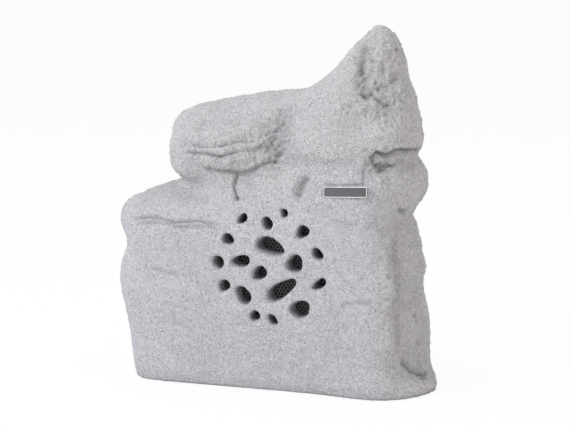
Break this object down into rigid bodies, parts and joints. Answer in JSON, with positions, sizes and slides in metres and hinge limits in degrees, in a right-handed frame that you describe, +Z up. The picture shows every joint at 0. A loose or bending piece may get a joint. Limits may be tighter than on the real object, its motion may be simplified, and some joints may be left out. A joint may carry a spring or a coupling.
{
  "type": "garden speaker",
  "caption": "Free-standing outdoor loudspeaker in a hollow cast artificial rock, with irregular sound holes over a perforated grille and a cable gland in a recess at the back.",
  "frame": {"origin": "on the ground under the middle of the rock's bounding box", "axes": "+Z up, the sound holes face -Y, +X to the right seen from the front"},
  "size_m": [0.416, 0.208, 0.465],
  "materials": {
    "stone": "sandy matt cast finish",
    "grille": "perforated sheet, dark satin",
    "board": "sealed board",
    "steel": "zinc plated",
    "seal_rubber": "matt",
    "basket": "black satin paint",
    "roll_rubber": "soft matt",
    "cone_paper": "coated paper",
    "spider_cloth": "resin stiffened cloth",
    "copper": "enamelled wire",
    "ferrite": "matt ferrite",
    "brass_tag": "bright",
    "lamination": "varnished steel sheets",
    "winding_tape": "wound tape",
    "block_plastic": "moulded",
    "lead_red": "insulation",
    "lead_black": "insulation",
    "base_plastic": "moulded sheet",
    "foot_rubber": "matt",
    "gland_plastic": "moulded",
    "badge": "dark plate with a bright rim"
  },
  "bodies": {
    "cabinet": {"rock_shell": "stone", "grille_mesh": "grille", "baffle_board": "board", "baffle_screws": "steel", "driver_gasket": "seal_rubber", "driver_basket": "basket", "surround": "roll_rubber", "spider": "spider_cloth", "front_plate": "steel", "magnet_ring": "ferrite", "back_yoke": "steel", "driver_screws": "steel", "driver_terminals": "brass_tag", "transformer_core": "lamination", "transformer_winding": "winding_tape", "transformer_bracket": "steel", "transformer_screws": "steel", "terminal_block": "block_plastic", "terminal_screws": "brass_tag", "line_leads": "lead_red", "speaker_leads": "lead_black", "base_plate": "base_plastic", "base_gasket": "seal_rubber", "base_screws": "steel", "rubber_feet": "foot_rubber", "foot_screws": "steel", "gland_body": "gland_plastic", "gland_locknut": "gland_plastic", "gland_nut": "gland_plastic", "gland_seal": "seal_rubber", "badge_plate": "badge"},
    "cone_assembly": {"cone": "cone_paper", "dust_cap": "cone_paper", "voice_coil": "copper"}
  },
  "joints": [
    {"name": "cone_travel", "type": "slide", "parent": "cabinet", "child": "cone_assembly", "axis": [0, 1, 0], "range_m": [-0.004, 0.004], "stiffness_N_per_m": 1500, "deforming": ["surround", "spider"]}
  ]
}
